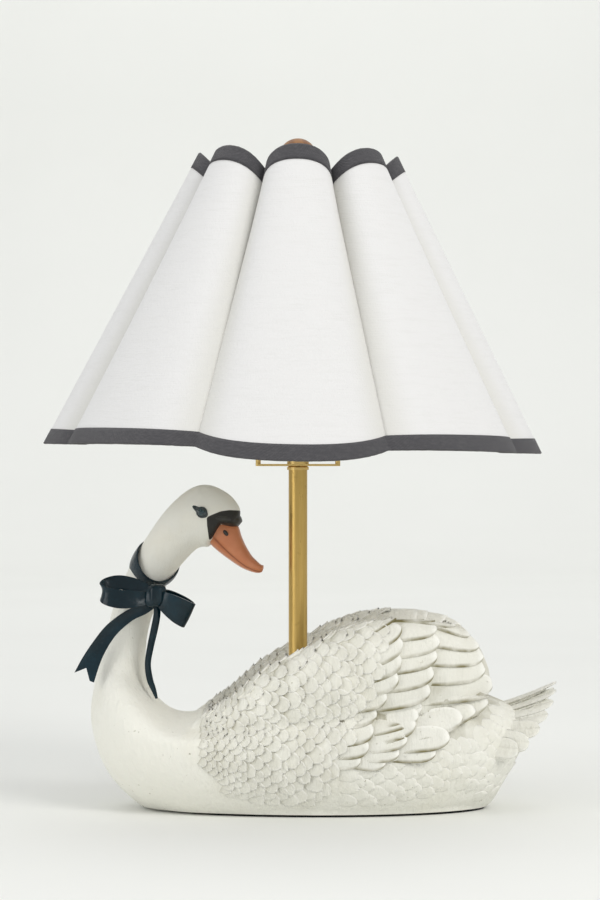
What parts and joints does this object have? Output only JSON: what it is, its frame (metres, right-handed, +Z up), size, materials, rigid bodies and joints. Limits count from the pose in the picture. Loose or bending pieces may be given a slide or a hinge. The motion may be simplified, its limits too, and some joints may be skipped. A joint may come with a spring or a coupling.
{
  "type": "table lamp",
  "caption": "Swan table lamp: cast bird base with a ribbon bow, brass tube, lamp holder and harp, and a scalloped fabric shade under a turned finial.",
  "frame": {"origin": "on the axis of the brass tube, at the bottom face of the felt that the lamp stands on", "axes": "+Z up along the tube; +X from the tube towards the swan's tail, so that the swan faces -X; +Y to the swan's left side, the side away from the bow; the harp lies in the XZ plane"},
  "size_m": [0.3996, 0.387, 0.5215],
  "materials": {
    "cast_stone": "matt cream paint with soft brown antiquing in the recesses, orange bill and black mask",
    "navy_lacquer": "gloss navy lacquer",
    "brushed_brass": "satin, brushed along the tube",
    "bright_brass": "polished",
    "zinc_steel": "zinc plated",
    "linen": "plain woven white linen on a stiff lining",
    "charcoal_tape": "plain woven bias tape",
    "felt": "black felt",
    "board": "raw fibre board",
    "turned_wood": "satin oiled wood",
    "phenolic": "moulded black",
    "rubber": "smooth black",
    "card": "pressed insulating card",
    "opal_glass": "white frosted"
  },
  "bodies": {
    "lamp_base": {"swan_body": "cast_stone", "base_plate": "board", "felt_pad": "felt", "cord_bushing": "rubber", "threaded_rod": "zinc_steel", "rod_washer": "zinc_steel", "rod_nut": "zinc_steel", "brass_tube": "brushed_brass", "check_ring": "brushed_brass", "ribbon_collar": "navy_lacquer", "bow_knot": "navy_lacquer", "bow_loop_left": "navy_lacquer", "bow_loop_right": "navy_lacquer", "ribbon_tail_left": "navy_lacquer", "ribbon_tail_right": "navy_lacquer", "harp_saddle": "bright_brass", "socket_cap": "brushed_brass", "socket_shell": "brushed_brass", "socket_liner": "card", "socket_core": "phenolic", "screw_shell": "zinc_steel", "centre_contact": "bright_brass", "terminal_screws": "bright_brass"},
    "harp": {"harp_wire": "bright_brass", "harp_top_plate": "bright_brass", "harp_stud": "bright_brass"},
    "sleeve_left": {"harp_sleeve_left": "bright_brass"},
    "sleeve_right": {"harp_sleeve_right": "bright_brass"},
    "switch": {"switch_shaft": "bright_brass", "switch_knob": "phenolic"},
    "bulb": {"bulb_glass": "opal_glass", "bulb_base": "zinc_steel", "bulb_contact": "bright_brass"},
    "shade": {"spider_hub": "bright_brass", "spider_arms": "bright_brass", "top_wire": "zinc_steel", "hem_wire": "zinc_steel", "shade_ribs": "zinc_steel", "shade_panel_1": "linen", "shade_panel_2": "linen", "shade_panel_3": "linen", "shade_panel_4": "linen", "shade_panel_5": "linen", "shade_panel_6": "linen", "shade_panel_7": "linen", "shade_panel_8": "linen", "top_tape": "charcoal_tape", "hem_tape": "charcoal_tape"},
    "finial": {"finial_insert": "bright_brass", "finial_ball": "turned_wood"}
  },
  "joints": [
    {"name": "harp_lift", "type": "slide", "parent": "lamp_base", "child": "harp", "axis": [0, 0, 1], "range_m": [0, 0.015]},
    {"name": "sleeve_left_slide", "type": "slide", "parent": "harp", "child": "sleeve_left", "axis": [0, 0, 1], "range_m": [0, 0.009]},
    {"name": "sleeve_right_slide", "type": "slide", "parent": "harp", "child": "sleeve_right", "axis": [0, 0, 1], "range_m": [0, 0.009]},
    {"name": "switch_turn", "type": "hinge", "parent": "lamp_base", "child": "switch", "pos_m": [0, 0.02, 0.2956], "axis": [0, 1, 0], "continuous": true},
    {"name": "bulb_turn", "type": "hinge", "parent": "lamp_base", "child": "bulb", "pos_m": [0, 0, 0.33], "axis": [0, 0, 1], "continuous": true},
    {"name": "shade_turn", "type": "hinge", "parent": "harp", "child": "shade", "pos_m": [0, 0, 0.489], "axis": [0, 0, 1], "continuous": true},
    {"name": "finial_turn", "type": "hinge", "parent": "harp", "child": "finial", "pos_m": [0, 0, 0.497], "axis": [0, 0, 1], "continuous": true}
  ]
}
